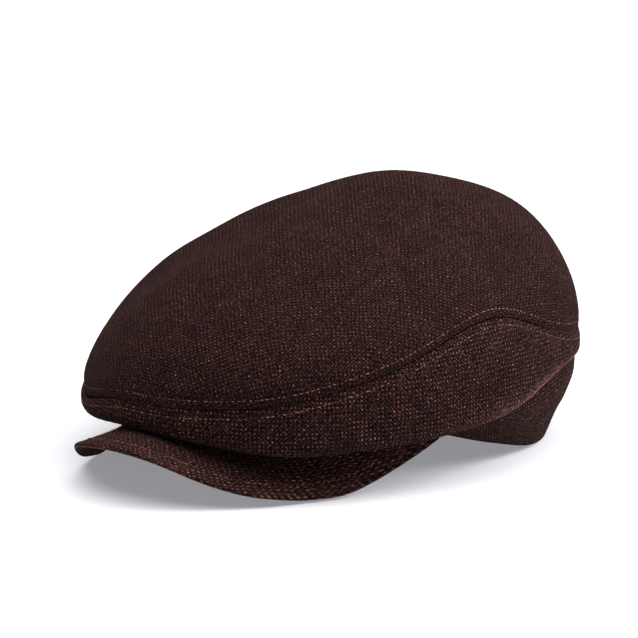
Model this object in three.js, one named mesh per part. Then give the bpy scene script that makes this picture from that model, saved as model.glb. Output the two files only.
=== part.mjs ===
// A soft winter flat cap of thick wool cloth, standing on a table as it would by itself.
// Millimetres, +Z up. The peak points to -Y and the wearer's left is +X.
// The cap is four pieces: a one-piece top, a side panel that rolls under, a head band and a peak.
import * as THREE from "three";

// Crown
const CROWN_LENGTH = 268;
const CROWN_WIDTH = 224;
const CROWN_TOP = 128;
const CROWN_FORWARD = 19; // how far the crown's middle lies ahead of the head opening's middle
const SUMMIT_BACK = 20; // how far the highest point lies behind the head opening's middle
const SEAM_HEIGHT = 78; // highest stretch of the seam between top and side, over the ear
const SEAM_DIP = 16; // how much lower the seam sags at the wearer's right front quarter
const FOLD_HEIGHT = 46; // underside of the rolled fold at the back
const FOLD_RADIUS = 3.5; // outside radius of the rolled fold
const WIDEST_RISE = 0.3; // the crown's widest place, as a share of the way from the fold to the seam
const SHOULDER_BULGE = { inset: 0.12, drop: 0.4 }; // pull of the side panel's curve, of inset and height
const FOLD_TUCK = 4.2; // how far the crown overhangs the band at the back and sides
const FRONT_OVERHANG = 38; // how far the crown overhangs the band at the front

// Head band
const HEAD_LENGTH = 204;
const HEAD_WIDTH = 172;
const FRONT_RISE = 26; // how far the head opening's edge rises from the back to the front
const BAND_HIDDEN = 7; // height of band that stands inside the crown, above the fold

// Peak
const PEAK_WIDTH = 180;
const PEAK_REACH = 173; // front edge of the peak, ahead of the head opening's middle
const PEAK_CORNER = 40; // outer corners of the peak, ahead of the head opening's middle
const PEAK_ARCH = 25; // height of the front edge's middle above its lowest points
const PEAK_THICK = 4.2;
const PEAK_SWELL = 0.8; // how far the peak's upper face is crowned between its edges
const PEAK_TURN = 70; // angle round the head opening at which the peak's sewn edge ends, degrees

// Cloth and making
const WALL = 2.2;
const SEAM_GAP = 0.3;
const COLUMNS = 72;
const TOP_ROWS = 11;
const SHOULDER_ROWS = 4; // steps of the side panel from the seam to its widest place
const FOLD_BENDS = [15, 38, 62, 90]; // steps round the fold, degrees
const BAND_STEPS = [0, 0.25, 0.5, 0.75, 1]; // down the band, from the fold's joint to the peak's top
const PEAK_ROWS = 5;

const CLOTH = { color: 0x4a302b, roughness: 0.95, metalness: 0 };
const SMALL_STEP = 0.01; // share of the way, or radians, over which a direction is measured
const HALF_TURN = Math.PI;
const FULL_TURN = 2 * Math.PI;

// The crown's lower part round the head, from the front (0 degrees) past the ear (90) to the back (180).
// seamHeight is a share of SEAM_HEIGHT, and seamReach is the seam's distance out, as a share of the
// crown's outline. foldHeight, the underside of the rolled fold, and joint, the place where the fold
// meets the band, are shares of FOLD_HEIGHT.
const SEAM_STATIONS = [
  { angle: 0, seamHeight: 0.57, seamReach: 0.995, foldHeight: 0.68, joint: 0.8 },
  { angle: 30, seamHeight: 0.6, seamReach: 0.99, foldHeight: 0.54, joint: 0.8 },
  { angle: 60, seamHeight: 0.78, seamReach: 0.975, foldHeight: 0.56, joint: 0.8 },
  { angle: 90, seamHeight: 1, seamReach: 0.9, foldHeight: 0.68, joint: 0.82 },
  { angle: 120, seamHeight: 0.91, seamReach: 0.97, foldHeight: 1, joint: 1.03 },
  { angle: 150, seamHeight: 0.75, seamReach: 0.995, foldHeight: 1.02, joint: 1.05 },
  { angle: 180, seamHeight: 0.73, seamReach: 0.995, foldHeight: 1.02, joint: 1.05 },
];

// The dome runs as one curve from the summit to the seam: flat is the share of the way out that it
// stays level. edgeIn and edgeRise are how far its last stretch leans in, as shares of the way out
// and of the rise.
const DOME_STATIONS = [
  { angle: 0, flat: 0.21, edgeIn: -0.02, edgeRise: 0.52 },
  { angle: 30, flat: 0.22, edgeIn: -0.03, edgeRise: 0.52 },
  { angle: 60, flat: 0.27, edgeIn: -0.03, edgeRise: 0.38 },
  { angle: 90, flat: 0.33, edgeIn: 0, edgeRise: 0.28 },
  { angle: 120, flat: 0.41, edgeIn: 0, edgeRise: 0.56 },
  { angle: 150, flat: 0.48, edgeIn: -0.02, edgeRise: 0.73 },
  { angle: 180, flat: 0.5, edgeIn: -0.01, edgeRise: 0.77 },
];

// The band's stations: hemRise is a share of FRONT_RISE. The crown overhangs the band by FOLD_TUCK
// where overhang is 0 and by FRONT_OVERHANG where it is 1.
const BAND_STATIONS = [
  { angle: 0, hemRise: 1, overhang: 1 },
  { angle: 30, hemRise: 1, overhang: 0.84 },
  { angle: 60, hemRise: 0.98, overhang: 0.36 },
  { angle: 90, hemRise: 0.54, overhang: 0.06 },
  { angle: 120, hemRise: 0, overhang: 0 },
  { angle: 150, hemRise: 0, overhang: 0 },
  { angle: 180, hemRise: 0, overhang: 0 },
];

// The band's outside from the hem to its top: up is a share of its height, out of its flare.
const BAND_PROFILE = [
  { up: 0, out: 0 },
  { up: 0.25, out: 0.42 },
  { up: 0.42, out: 0.76 },
  { up: 0.65, out: 1 },
  { up: 1, out: 1 },
];

// The peak's outer edge from its middle to its corner: across is a share of half the width,
// ahead of the way from corner to front, and lift of the arch.
const PEAK_STATIONS = [
  { along: 0, across: 0, ahead: 1, lift: 1 },
  { along: 0.13, across: 0.27, ahead: 0.96, lift: 0.87 },
  { along: 0.27, across: 0.51, ahead: 0.83, lift: 0.48 },
  { along: 0.4, across: 0.69, ahead: 0.67, lift: 0.12 },
  { along: 0.5, across: 0.77, ahead: 0.54, lift: 0 },
  { along: 0.6, across: 0.84, ahead: 0.42, lift: 0.04 },
  { along: 0.74, across: 0.91, ahead: 0.26, lift: 0.25 },
  { along: 0.88, across: 0.97, ahead: 0.1, lift: 0.6 },
  { along: 1, across: 1, ahead: 0, lift: 0.86 },
];

// A smooth value through one column of a table, with no overshoot between its rows. It sets off
// level at an end that is marked so, and otherwise as steep as the table is there.
function smoothColumn(rows, place, column, levelFirst, levelLast) {
  const at = rows.map((row) => row[place]);
  const value = rows.map((row) => row[column]);
  const rise = at.slice(1).map((x, i) => (value[i + 1] - value[i]) / (x - at[i]));
  const tangent = at.map((x, i) => {
    if (i === 0) return levelFirst ? 0 : rise[0];
    if (i === at.length - 1) return levelLast ? 0 : rise[i - 1];
    const before = rise[i - 1];
    const after = rise[i];
    return before * after <= 0 ? 0 : (2 * before * after) / (before + after);
  });
  return (x) => {
    const clamped = Math.min(Math.max(x, at[0]), at[at.length - 1]);
    let i = 0;
    while (i < rise.length - 1 && clamped > at[i + 1]) i += 1;
    const width = at[i + 1] - at[i];
    const t = (clamped - at[i]) / width;
    const bend = t * t * (3 - 2 * t);
    const start = t * (1 - t) * (1 - t) * width * tangent[i];
    const end = t * t * (t - 1) * width * tangent[i + 1];
    return value[i] + (value[i + 1] - value[i]) * bend + start + end;
  };
}

// The same, for a table in degrees that holds one half of a ring whose other half mirrors it.
function ringColumn(rows, column) {
  const half = smoothColumn(rows, "angle", column, true, true);
  return (turn) => {
    const degrees = THREE.MathUtils.radToDeg(turn % FULL_TURN);
    return half(degrees > 180 ? 360 - degrees : degrees);
  };
}

const seamShare = ringColumn(SEAM_STATIONS, "seamHeight");
const seamReach = ringColumn(SEAM_STATIONS, "seamReach");
const foldShare = ringColumn(SEAM_STATIONS, "foldHeight");
const jointShare = ringColumn(SEAM_STATIONS, "joint");
const domeFlat = ringColumn(DOME_STATIONS, "flat");
const domeEdgeIn = ringColumn(DOME_STATIONS, "edgeIn");
const domeEdgeRise = ringColumn(DOME_STATIONS, "edgeRise");
const hemShare = ringColumn(BAND_STATIONS, "hemRise");
const overhangShare = ringColumn(BAND_STATIONS, "overhang");
const bandFlare = smoothColumn(BAND_PROFILE, "up", "out", false, false);

// The seam sags in the last quarter turn, where the soft crown leans on its right front.
function seamHeight(turn) {
  const around = (turn + FULL_TURN) % FULL_TURN;
  const sag = around > 0.75 * FULL_TURN ? Math.sin(2 * around) ** 2 : 0;
  return SEAM_HEIGHT * seamShare(around) - SEAM_DIP * sag;
}

const foldHeight = (turn) => FOLD_HEIGHT * foldShare(turn);
const jointHeight = (turn) => FOLD_HEIGHT * jointShare(turn);
const hemHeight = (turn) => FRONT_RISE * hemShare(turn);

// A point in plan on an oval round the head, at a turn measured from the front.
function oval(turn, halfWidth, halfLength, middle) {
  return new THREE.Vector2(halfWidth * Math.sin(turn), middle - halfLength * Math.cos(turn));
}

const crownOutline = (turn, share = 1) =>
  oval(turn, (share * CROWN_WIDTH) / 2, (share * CROWN_LENGTH) / 2, -CROWN_FORWARD);
const hemOutline = (turn) => oval(turn, HEAD_WIDTH / 2, HEAD_LENGTH / 2, 0);

const crownBack = CROWN_LENGTH / 2 - CROWN_FORWARD;

// The band's top edge lies inside the crown's outline by the overhang, measured square to it.
function bandTopOutline(turn) {
  const outline = crownOutline(turn);
  const inward = new THREE.Vector2(-Math.sin(turn) / CROWN_WIDTH, Math.cos(turn) / CROWN_LENGTH);
  const overhang = THREE.MathUtils.lerp(FOLD_TUCK, FRONT_OVERHANG, overhangShare(turn));
  return outline.addScaledVector(inward.normalize(), overhang);
}

const bandTopHeight = (turn) => jointHeight(turn) + WALL + BAND_HIDDEN;

// The band's outside in plan at a turn and a height.
function bandOutline(turn, height) {
  const low = hemHeight(turn);
  const up = (height - low) / (bandTopHeight(turn) - low);
  return hemOutline(turn).lerp(bandTopOutline(turn), bandFlare(up));
}

// A point against the band's outside, a seam gap clear of it.
function besideBand(turn, height) {
  const plan = bandOutline(turn, height);
  plan.setLength(plan.length() + SEAM_GAP);
  return new THREE.Vector3(plan.x, plan.y, height);
}

// A closed body through a run of rings. With tips, each end closes to its tip; without, the last
// ring joins the first.
function loftBody(rings, tips) {
  const columns = rings[0].length;
  const positions = rings.flat().flatMap((p) => [p.x, p.y, p.z]);
  const index = [];
  const joins = tips ? rings.length - 1 : rings.length;
  for (let row = 0; row < joins; row += 1) {
    const next = (row + 1) % rings.length;
    for (let i = 0; i < columns; i += 1) {
      const j = (i + 1) % columns;
      const [a, b] = [row * columns + i, row * columns + j];
      const [c, d] = [next * columns + j, next * columns + i];
      index.push(a, d, c, a, c, b);
    }
  }
  if (tips) {
    const firstTip = rings.length * columns;
    const lastRow = (rings.length - 1) * columns;
    tips.forEach((tip) => positions.push(tip.x, tip.y, tip.z));
    for (let i = 0; i < columns; i += 1) {
      const j = (i + 1) % columns;
      index.push(firstTip, i, j);
      index.push(firstTip + 1, lastRow + j, lastRow + i);
    }
  }
  const geometry = new THREE.BufferGeometry();
  geometry.setAttribute("position", new THREE.Float32BufferAttribute(positions, 3));
  geometry.setIndex(index);
  geometry.computeVertexNormals();
  return geometry;
}

function clothMesh(name, geometry) {
  const mesh = new THREE.Mesh(geometry, new THREE.MeshStandardMaterial(CLOTH));
  mesh.name = name;
  return mesh;
}

const turns = Array.from({ length: COLUMNS }, (_, i) => (FULL_TURN * i) / COLUMNS);

// The crown's dome at a share of the way from the summit out to the seam.
function domePoint(turn, share) {
  const seam = crownOutline(turn, seamReach(turn));
  const rise = CROWN_TOP - seamHeight(turn);
  const profile = new THREE.CubicBezierCurve(
    new THREE.Vector2(0, CROWN_TOP),
    new THREE.Vector2(domeFlat(turn), CROWN_TOP),
    new THREE.Vector2(1 - domeEdgeIn(turn), CROWN_TOP - rise + rise * domeEdgeRise(turn)),
    new THREE.Vector2(1, CROWN_TOP - rise),
  ).getPoint(share);
  const summit = new THREE.Vector2(0, SUMMIT_BACK);
  const plan = summit.lerp(seam, profile.x);
  return new THREE.Vector3(plan.x, plan.y, profile.y);
}

// The dome's outward direction, from points a small step to each side.
function domeNormal(turn, share) {
  const outward = domePoint(turn, Math.min(share + SMALL_STEP, 1));
  const along = outward.sub(domePoint(turn, share - SMALL_STEP));
  const round = domePoint(turn + SMALL_STEP, share).sub(domePoint(turn - SMALL_STEP, share));
  return along.cross(round).normalize();
}

// The top panel: a hollow dome, its edge cut square to the cloth half a gap short of the seam.
function topPanel() {
  const shares = Array.from({ length: TOP_ROWS }, (_, i) => (i + 1) / TOP_ROWS);
  const trim = SEAM_GAP / 2;
  const outer = shares.map((share) =>
    turns.map((turn) => {
      const point = domePoint(turn, share);
      if (share < 1) return point;
      const back = domePoint(turn, share - SMALL_STEP).sub(point).setLength(trim);
      return point.add(back);
    }),
  );
  const inner = shares.map((share, row) =>
    turns.map((turn, i) => outer[row][i].clone().addScaledVector(domeNormal(turn, share), -WALL)),
  );
  const tip = new THREE.Vector3(0, SUMMIT_BACK, CROWN_TOP);
  const innerTip = tip.clone().setZ(CROWN_TOP - WALL);
  return clothMesh("top_panel", loftBody([...outer, ...inner.reverse()], [tip, innerTip]));
}

// The side panel's section at a turn, as points of inset from the crown's outline and height:
// down from the seam to the widest place, round the fold, and in under the crown to the band.
// Above the widest place an inset leads towards the seam, and below it towards the band.
function sideSection(turn) {
  const outline = crownOutline(turn);
  const fold = foldHeight(turn);
  const top = seamHeight(turn);
  const widest = fold + FOLD_RADIUS + WIDEST_RISE * (top - fold - FOLD_RADIUS);
  const seamInset = crownOutline(turn, seamReach(turn)).distanceTo(outline);
  const joint = jointHeight(turn);
  const reach = bandOutline(turn, joint).distanceTo(outline) - SEAM_GAP;
  const shoulder = new THREE.QuadraticBezierCurve(
    new THREE.Vector2(seamInset, top),
    new THREE.Vector2(SHOULDER_BULGE.inset * seamInset, top - SHOULDER_BULGE.drop * (top - widest)),
    new THREE.Vector2(0, widest),
  ).getPoints(SHOULDER_ROWS);
  const trim = shoulder[1].clone().sub(shoulder[0]).setLength(SEAM_GAP / 2);
  shoulder[0].add(trim);
  const roll = FOLD_BENDS.map((degrees) => {
    const bend = THREE.MathUtils.degToRad(degrees);
    return new THREE.Vector2(
      FOLD_RADIUS * (1 - Math.cos(bend)),
      fold + FOLD_RADIUS * (1 - Math.sin(bend)),
    );
  });
  const bottom = new THREE.Vector2(FOLD_RADIUS, fold);
  const under = [0.5, 1].map((share) => bottom.clone().lerp(new THREE.Vector2(reach, joint), share));
  return [...shoulder, ...roll, ...under];
}

// The inside of a section: each point moved square to the cloth by the wall.
function insetSection(points) {
  return points.map((point, i) => {
    const before = points[Math.max(i - 1, 0)];
    const after = points[Math.min(i + 1, points.length - 1)];
    const along = after.clone().sub(before).normalize();
    return new THREE.Vector2(point.x - along.y * WALL, point.y + along.x * WALL);
  });
}

function sidePanel() {
  const columns = turns.map((turn) => {
    const outline = crownOutline(turn);
    const toSeam = crownOutline(turn, seamReach(turn)).sub(outline).normalize();
    const toBand = bandOutline(turn, jointHeight(turn)).sub(outline).normalize();
    const place = (point, row) => {
      const inward = row < SHOULDER_ROWS ? toSeam : toBand;
      const plan = outline.clone().addScaledVector(inward, point.x);
      return new THREE.Vector3(plan.x, plan.y, point.y);
    };
    const section = sideSection(turn);
    const outer = section.map(place);
    const inner = insetSection(section).map(place);
    const last = section.length - 1;
    inner[0] = outer[0].clone().addScaledVector(domeNormal(turn, 1), -WALL);
    outer[last] = besideBand(turn, jointHeight(turn));
    inner[last] = besideBand(turn, jointHeight(turn) + WALL);
    return [...outer, ...inner.reverse()];
  });
  const rings = columns[0].map((_, row) => columns.map((column) => column[row]));
  return clothMesh("side_panel", loftBody(rings));
}

// Heights of the band's rows at a turn, from its top to the hem, with rows where the fold's two
// faces and the peak's upper face meet it.
function bandHeights(turn) {
  const hem = hemHeight(turn);
  const joint = jointHeight(turn);
  const stretch = BAND_STEPS.map((share) => THREE.MathUtils.lerp(joint, hem + PEAK_THICK, share));
  return [bandTopHeight(turn), joint + WALL, ...stretch, hem];
}

function headBand() {
  const rows = bandHeights(0).map((_, row) => row);
  const outer = rows.map((row) =>
    turns.map((turn) => {
      const height = bandHeights(turn)[row];
      const plan = bandOutline(turn, height);
      return new THREE.Vector3(plan.x, plan.y, height);
    }),
  );
  const inner = outer.map((ring) =>
    ring.map((point) => {
      const plan = new THREE.Vector2(point.x, point.y);
      plan.setLength(plan.length() - WALL);
      return new THREE.Vector3(plan.x, plan.y, point.z);
    }),
  );
  return clothMesh("head_band", loftBody([...outer, ...inner.reverse()]));
}

const peakAcross = smoothColumn(PEAK_STATIONS, "along", "across", false, false);
const peakAhead = smoothColumn(PEAK_STATIONS, "along", "ahead", true, false);
const peakLift = smoothColumn(PEAK_STATIONS, "along", "lift", true, false);

// The peak's sections stand at the band's own columns.
const peakColumns = Math.round((PEAK_TURN * COLUMNS) / 360);

// A section of the peak from its sewn edge to its outer edge, counted in columns from its middle.
// Each face's sewn edge stands against the band's outside at its own height.
function peakSection(column) {
  const along = Math.abs(column) / peakColumns;
  const side = Math.sign(column);
  const facing = turns[(column + COLUMNS) % COLUMNS];
  const ahead = PEAK_CORNER + (PEAK_REACH - PEAK_CORNER) * peakAhead(along);
  const across = (side * PEAK_WIDTH * peakAcross(along)) / 2;
  const face = (thick) => {
    const from = besideBand(facing, hemHeight(facing) + thick);
    const to = new THREE.Vector3(across, -ahead, PEAK_ARCH * peakLift(along) + thick);
    return Array.from({ length: PEAK_ROWS }, (_, i) => {
      const share = i / (PEAK_ROWS - 1);
      const point = from.clone().lerp(to, share);
      point.z += PEAK_SWELL * Math.sin(HALF_TURN * share);
      return point;
    });
  };
  return [...face(0), ...face(PEAK_THICK).reverse()];
}

function peak() {
  const sections = [];
  for (let i = -peakColumns; i <= peakColumns; i += 1) sections.push(peakSection(i));
  const ends = [sections[0], sections[sections.length - 1]].map((section) =>
    section.reduce((sum, p) => sum.add(p), new THREE.Vector3()).divideScalar(section.length),
  );
  return clothMesh("peak", loftBody(sections, ends));
}

// The cap's own origin is on the table below the middle of its length.
const cap = new THREE.Group();
cap.add(topPanel(), sidePanel(), headBand(), peak());
cap.position.y = (PEAK_REACH - crownBack) / 2;

export default cap;
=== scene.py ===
import math

import bpy
import numpy as np
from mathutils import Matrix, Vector


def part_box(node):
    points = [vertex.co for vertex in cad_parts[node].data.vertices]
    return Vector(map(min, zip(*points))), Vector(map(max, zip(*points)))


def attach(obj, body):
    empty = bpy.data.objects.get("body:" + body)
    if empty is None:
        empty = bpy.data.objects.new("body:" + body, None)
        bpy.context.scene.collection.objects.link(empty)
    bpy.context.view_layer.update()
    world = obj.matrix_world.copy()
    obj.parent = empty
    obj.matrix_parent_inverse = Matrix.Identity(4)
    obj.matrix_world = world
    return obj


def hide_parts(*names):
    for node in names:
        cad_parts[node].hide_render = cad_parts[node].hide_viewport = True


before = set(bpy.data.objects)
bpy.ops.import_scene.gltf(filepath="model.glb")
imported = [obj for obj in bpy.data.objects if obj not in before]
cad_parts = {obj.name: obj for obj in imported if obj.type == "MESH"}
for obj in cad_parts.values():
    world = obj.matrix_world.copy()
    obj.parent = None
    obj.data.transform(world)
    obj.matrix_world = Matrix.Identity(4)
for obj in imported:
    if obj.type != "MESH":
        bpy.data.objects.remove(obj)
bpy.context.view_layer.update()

# A soft winter flat cap of thick plain-woven wool, standing on a pale floor. Metres, +Z up.
# The peak points to -Y and the wearer's left is +X. Turns go round the head from the front.

# Sizes that the frame gives
CROWN_LOW, CROWN_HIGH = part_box("side_panel")
PEAK_LOW, PEAK_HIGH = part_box("peak")
CROWN_WIDTH = CROWN_HIGH[0] - CROWN_LOW[0]
CROWN_LENGTH = CROWN_HIGH[1] - CROWN_LOW[1]
CROWN_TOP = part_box("top_panel")[1][2]
PEAK_WIDTH = PEAK_HIGH[0] - PEAK_LOW[0]

# Crown
CROWN_FORWARD = 0.019
SUMMIT_BACK = 0.02
SEAM_HEIGHT = 0.078
SEAM_DIP = 0.016
FOLD_HEIGHT = 0.046
FOLD_ROLL = 0.006
THIN_RISE = 0.006
THIN_SHARE = 0.7
# Painted highlight: the wool is drawn paler along the fold, from the sides to the back, where the
# rolled fold catches the light.
HIGHLIGHT_RIM = 0.006
HIGHLIGHT_FULL = 0.03
HIGHLIGHT_FROM = math.radians(68)
HIGHLIGHT_BACK = math.radians(145)
HIGHLIGHT_LESS = 0.6
HIGHLIGHT_FADE = math.radians(35)
ROLL_SHARE = 0.82
WIDEST_RISE = 0.3
SHOULDER_BULGE = dict(inset=0.12, drop=0.4)
FOLD_TUCK = 0.0042
FRONT_OVERHANG = 0.038
OPENING_Y = CROWN_HIGH[1] - (CROWN_LENGTH / 2 - CROWN_FORWARD)

# Head band
HEAD_LENGTH = 0.204
HEAD_WIDTH = 0.172
FRONT_RISE = 0.026
BAND_HIDDEN = 0.007
# The band sinks in under the fold at the sides and swells behind them.
BAND_RECESS = 0.0045
RECESS_MIDDLE = math.radians(88)
RECESS_SPREAD = math.radians(26)
RECESS_LOW = 0.25
RECESS_RISE = 0.5
BAND_SWELL = 0.0022
SWELL_FROM = math.radians(112)
SWELL_TO = math.radians(136)

# Peak
PEAK_REACH = OPENING_Y - PEAK_LOW[1]
PEAK_CORNER = 0.04
PEAK_ARCH = 0.025
PEAK_THICK = 0.0042
PEAK_SWELL = 0.0008
RIM_THICK = 0.0024
PEAK_TURN = math.radians(70)

# Cloth and making
WALL = 0.0022
SEAM_GAP = 0.0003
THREAD = 0.00145
STITCH_ROW = 0.0042
STITCH_LENGTH = 0.0021
STITCH_STEP = 0.0027
STITCH_RADIUS = 0.00024

# Mesh fineness
COLUMNS = 384
SMOOTHING = math.radians(6)
SEED = 5

# The crown's lower part round the head, as shares of the sizes above.
SEAM_STATIONS = [
    dict(angle=0, seam_height=0.57, seam_reach=0.995, fold_height=0.68, joint=0.8),
    dict(angle=30, seam_height=0.6, seam_reach=0.99, fold_height=0.54, joint=0.8),
    dict(angle=60, seam_height=0.78, seam_reach=0.975, fold_height=0.56, joint=0.8),
    dict(angle=92, seam_height=1.03, seam_reach=0.9, fold_height=0.68, joint=0.82),
    dict(angle=120, seam_height=0.76, seam_reach=0.984, fold_height=1, joint=1.03),
    dict(angle=150, seam_height=0.71, seam_reach=0.995, fold_height=1.02, joint=1.05),
    dict(angle=180, seam_height=0.7, seam_reach=0.995, fold_height=1.02, joint=1.05),
]

# The dome runs as one curve from the summit to the seam.
DOME_STATIONS = [
    dict(angle=0, flat=0.21, edge_in=-0.02, edge_rise=0.52),
    dict(angle=30, flat=0.22, edge_in=-0.03, edge_rise=0.52),
    dict(angle=60, flat=0.27, edge_in=-0.03, edge_rise=0.38),
    dict(angle=90, flat=0.33, edge_in=0, edge_rise=0.28),
    dict(angle=120, flat=0.41, edge_in=0, edge_rise=0.66),
    dict(angle=150, flat=0.48, edge_in=-0.02, edge_rise=0.73),
    dict(angle=180, flat=0.5, edge_in=-0.01, edge_rise=0.77),
]

# The band's hem and how far the crown overhangs its top.
BAND_STATIONS = [
    dict(angle=0, hem_rise=1, overhang=1),
    dict(angle=30, hem_rise=1, overhang=0.84),
    dict(angle=60, hem_rise=0.98, overhang=0.36),
    dict(angle=90, hem_rise=0.44, overhang=0.06),
    dict(angle=120, hem_rise=0, overhang=0),
    dict(angle=150, hem_rise=0, overhang=0),
    dict(angle=180, hem_rise=0, overhang=0),
]

# The band's outside from the hem to its top.
BAND_PROFILE = [
    dict(up=0, out=0),
    dict(up=0.25, out=0.42),
    dict(up=0.42, out=0.76),
    dict(up=0.65, out=1),
    dict(up=1, out=1),
]

# The peak's outer edge from its middle to its corner.
PEAK_STATIONS = [
    dict(along=0, across=0, ahead=1, lift=1),
    dict(along=0.13, across=0.27, ahead=0.96, lift=0.87),
    dict(along=0.27, across=0.51, ahead=0.83, lift=0.48),
    dict(along=0.4, across=0.69, ahead=0.67, lift=0.12),
    dict(along=0.5, across=0.77, ahead=0.54, lift=0),
    dict(along=0.6, across=0.84, ahead=0.42, lift=0.04),
    dict(along=0.74, across=0.91, ahead=0.26, lift=0.25),
    dict(along=0.88, across=0.97, ahead=0.1, lift=0.6),
    dict(along=1, across=1, ahead=0, lift=0.86),
]


# Tables read as smooth curves

def smooth_column(rows, place, column, level_first=True, level_last=True):
    """A smooth value through one column of a table, with no overshoot between its rows."""
    at = np.array([row[place] for row in rows], float)
    value = np.array([row[column] for row in rows], float)
    rise = np.diff(value) / np.diff(at)
    tangent = np.zeros(len(at))
    tangent[0] = 0 if level_first else rise[0]
    tangent[-1] = 0 if level_last else rise[-1]
    before, after = rise[:-1], rise[1:]
    same_way = before * after > 0
    total = np.where(same_way, before + after, 1)
    tangent[1:-1] = np.where(same_way, 2 * before * after / total, 0)

    def read(x):
        x = np.clip(x, at[0], at[-1])
        i = np.clip(np.searchsorted(at, x) - 1, 0, len(rise) - 1)
        width = at[i + 1] - at[i]
        t = (x - at[i]) / width
        bend = t * t * (3 - 2 * t)
        start = t * (1 - t) ** 2 * width * tangent[i]
        end = t * t * (t - 1) * width * tangent[i + 1]
        return value[i] + (value[i + 1] - value[i]) * bend + start + end

    return read


RING_PLACES = 1440
RING = np.linspace(-math.pi, math.pi, RING_PLACES, endpoint=False)


def blurred_ring(values):
    """Values all round the ring, evened over a few degrees."""
    harmonic = np.fft.rfftfreq(len(RING), 1 / len(RING))
    keep = np.exp(-0.5 * (harmonic * SMOOTHING) ** 2)
    return np.fft.irfft(np.fft.rfft(values) * keep, len(RING))


def ring_column(rows, column):
    """One column of a half ring's table, mirrored to the other half and evened."""
    half = smooth_column(rows, "angle", column)
    values = blurred_ring(half(np.degrees(np.abs(RING))))
    return lambda turn: np.interp(turn, RING, values, period=2 * math.pi)


seam_share = ring_column(SEAM_STATIONS, "seam_height")
seam_reach = ring_column(SEAM_STATIONS, "seam_reach")
fold_share = ring_column(SEAM_STATIONS, "fold_height")
joint_share = ring_column(SEAM_STATIONS, "joint")
dome_flat = ring_column(DOME_STATIONS, "flat")
dome_edge_in = ring_column(DOME_STATIONS, "edge_in")
dome_edge_rise = ring_column(DOME_STATIONS, "edge_rise")
hem_share = ring_column(BAND_STATIONS, "hem_rise")
overhang_share = ring_column(BAND_STATIONS, "overhang")
band_flare = smooth_column(BAND_PROFILE, "up", "out", False, False)
peak_across = smooth_column(PEAK_STATIONS, "along", "across", False, False)
peak_ahead = smooth_column(PEAK_STATIONS, "along", "ahead", True, False)
peak_lift = smooth_column(PEAK_STATIONS, "along", "lift", True, False)


def seam_height(turn):
    """The seam's height, which sags at the wearer's right front quarter."""
    right_front = (turn > -math.pi / 2) & (turn < 0)
    sag = np.where(right_front, np.sin(2 * turn) ** 2, 0)
    return SEAM_HEIGHT * seam_share(turn) - SEAM_DIP * sag


def oval(turn, width, length, middle):
    """Plan points of an oval round the head, as two columns."""
    x = width / 2 * np.sin(turn)
    y = OPENING_Y + middle - length / 2 * np.cos(turn)
    return np.stack([x, y], -1)


def crown_outline(turn, share=1):
    return oval(turn, share * CROWN_WIDTH, share * CROWN_LENGTH, -CROWN_FORWARD)


def unit(v):
    return v / np.maximum(np.linalg.norm(v, axis=-1, keepdims=True), 1e-12)


def band_top_outline(turn):
    inward = unit(np.stack([-np.sin(turn) / CROWN_WIDTH, np.cos(turn) / CROWN_LENGTH], -1))
    overhang = FOLD_TUCK + (FRONT_OVERHANG - FOLD_TUCK) * overhang_share(turn)
    return crown_outline(turn) + inward * overhang[..., None]


def joint_height(turn):
    return FOLD_HEIGHT * joint_share(turn)


def hem_height(turn):
    return FRONT_RISE * hem_share(turn)


def band_top_height(turn):
    return joint_height(turn) + WALL + BAND_HIDDEN


def band_outline(turn, height):
    """The band's outside in plan at each turn and height."""
    low = hem_height(turn)
    up = (height - low) / (band_top_height(turn) - low)
    hem = oval(turn, HEAD_WIDTH, HEAD_LENGTH, 0)
    plan = hem + (band_top_outline(turn) - hem) * band_flare(up)[..., None]
    shaded = np.exp(-(((np.abs(turn) - RECESS_MIDDLE) / RECESS_SPREAD) ** 2))
    rise = np.clip((up - RECESS_LOW) / RECESS_RISE, 0, 1)
    behind = np.clip((np.abs(turn) - SWELL_FROM) / (SWELL_TO - SWELL_FROM), 0, 1)
    swell = BAND_SWELL * behind * behind * (3 - 2 * behind)
    recess = (BAND_RECESS * shaded - swell) * rise * rise * (3 - 2 * rise)
    inward = unit(np.array([0, OPENING_Y]) - plan)
    return plan + inward * recess[..., None]


def placed(plan, height):
    return np.concatenate([plan, np.asarray(height)[..., None]], -1)


# Cloth that isn't quite even

rng = np.random.default_rng(SEED)
DENT_WAVES = 14
DENT_LENGTHS = (0.035, 0.11)
DENT_DEPTH = 0.0008
BACK_FULLNESS = 0.0019
BACK_FULL_AT = (0.109, 0.116)
BACK_FULL_SPREAD = 0.055
dent_direction = unit(rng.normal(size=(DENT_WAVES, 3)))
dent_length = rng.uniform(*DENT_LENGTHS, DENT_WAVES)
dent_phase = rng.uniform(0, 2 * math.pi, DENT_WAVES)


def dents(points):
    """Shallow soft dents and the crown's full back, alike for all pieces that meet at a place."""
    phase = points @ (dent_direction / dent_length[:, None]).T * 2 * math.pi + dent_phase
    weight = dent_length / dent_length.max()
    uneven = DENT_DEPTH * (np.sin(phase) * weight).sum(-1) / math.sqrt(DENT_WAVES / 2)
    from_full = np.linalg.norm(points - np.array([0, *BACK_FULL_AT]), axis=-1) / BACK_FULL_SPREAD
    return uneven + BACK_FULLNESS * np.exp(-(from_full**2))


# Grids of points: rows from one edge to the other, columns round the head

def arc_lengths(grid):
    """How far along its column each row lies."""
    steps = np.linalg.norm(np.diff(grid, axis=0), axis=-1)
    return np.concatenate([np.zeros((1, grid.shape[1])), np.cumsum(steps, axis=0)])


def resample(grid, lengths, wanted):
    """The grid's columns read at other distances along them."""
    out = np.empty((wanted.shape[0], grid.shape[1], grid.shape[2]))
    for column in range(grid.shape[1]):
        places, known = wanted[:, column], lengths[:, column]
        for axis in range(grid.shape[2]):
            out[:, column, axis] = np.interp(places, known, grid[:, column, axis])
    return out


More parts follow.
